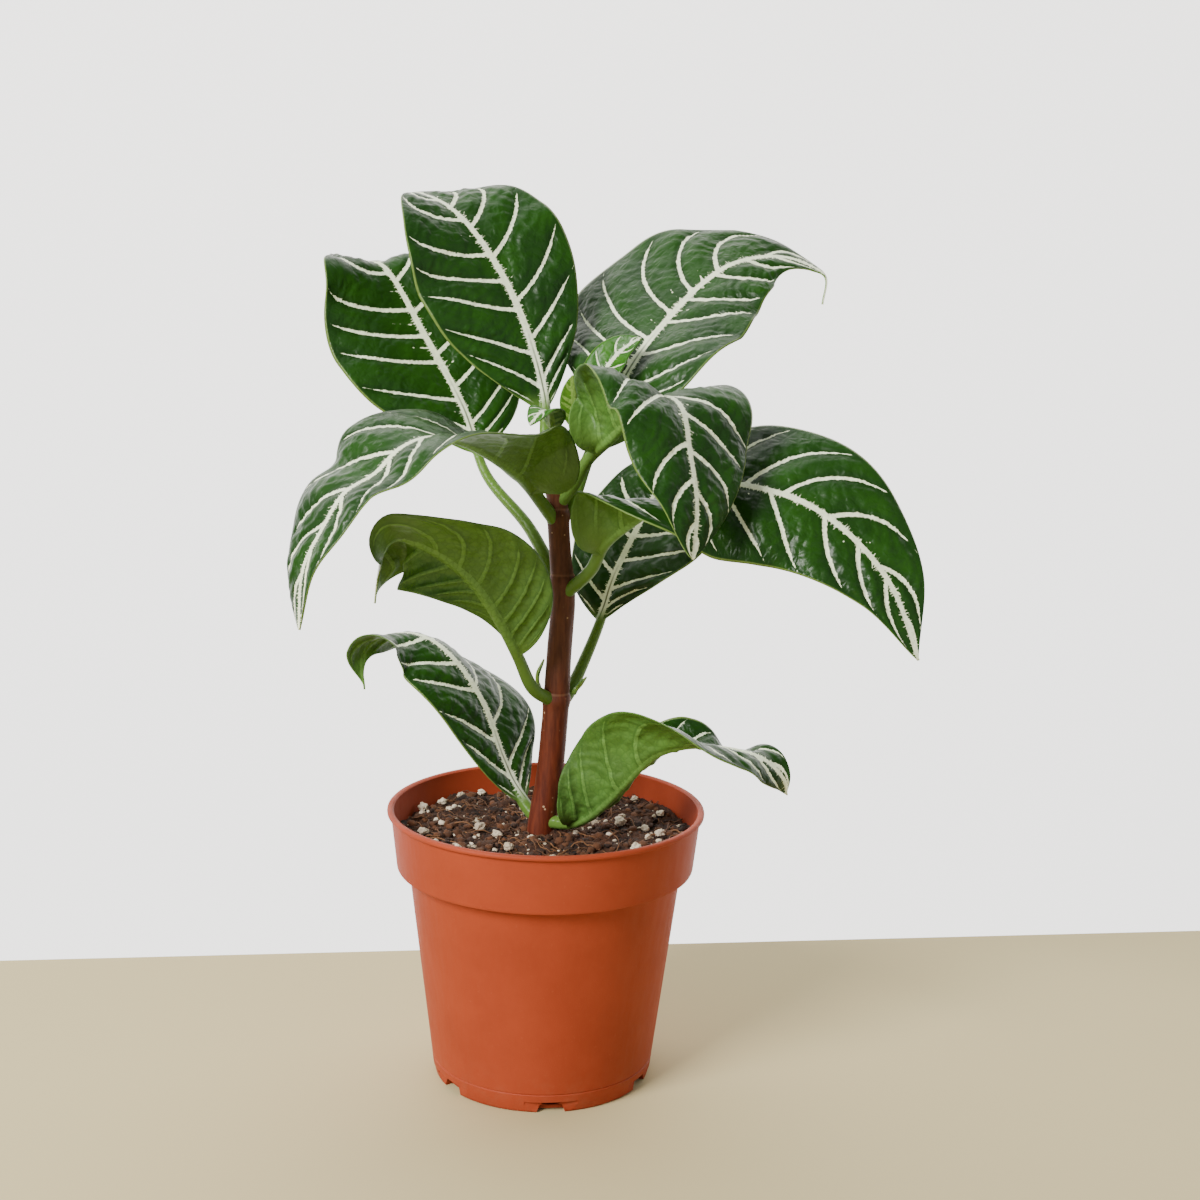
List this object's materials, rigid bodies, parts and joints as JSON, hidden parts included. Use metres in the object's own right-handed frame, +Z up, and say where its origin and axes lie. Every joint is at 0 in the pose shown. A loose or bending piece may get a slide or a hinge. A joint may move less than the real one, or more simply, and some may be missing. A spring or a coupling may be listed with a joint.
{
  "type": "potted zebra plant",
  "caption": "Zebra plant with arching striped leaves in opposite pairs on one upright stem, growing in soil in a tapered nursery pot with a wide rim band.",
  "frame": {"origin": "centre of the flat underside of the pot, on the surface it stands on", "axes": "+Z up along the pot's axis, -Y towards the front view, +X to the right"},
  "size_m": [0.1907, 0.152, 0.2937],
  "materials": {
    "pot": "satin",
    "soil": "matte",
    "stem": "satin",
    "shoot": "satin",
    "leaf": "gloss",
    "young_leaf": "satin",
    "perlite": "matte"
  },
  "bodies": {
    "root": {"pot": "pot", "soil": "soil", "stem": "stem", "shoot": "shoot", "leaf_1_left": "leaf", "leaf_1_right": "leaf", "leaf_2_left": "leaf", "leaf_2_right": "leaf", "leaf_3_left": "leaf", "leaf_3_right": "leaf", "leaf_4_left": "leaf", "leaf_4_right": "leaf", "leaf_5_left": "leaf", "leaf_5_right": "leaf", "young_leaf_left": "young_leaf", "young_leaf_front": "young_leaf", "young_leaf_right": "young_leaf", "bud_scale_left": "young_leaf", "bud_scale_right": "young_leaf", "perlite_01": "perlite", "perlite_02": "perlite", "perlite_03": "perlite", "perlite_04": "perlite", "perlite_05": "perlite", "perlite_06": "perlite", "perlite_07": "perlite", "perlite_08": "perlite", "perlite_09": "perlite", "perlite_10": "perlite", "perlite_11": "perlite", "perlite_12": "perlite", "perlite_13": "perlite", "perlite_14": "perlite", "perlite_15": "perlite", "perlite_16": "perlite"}
  },
  "joints": []
}
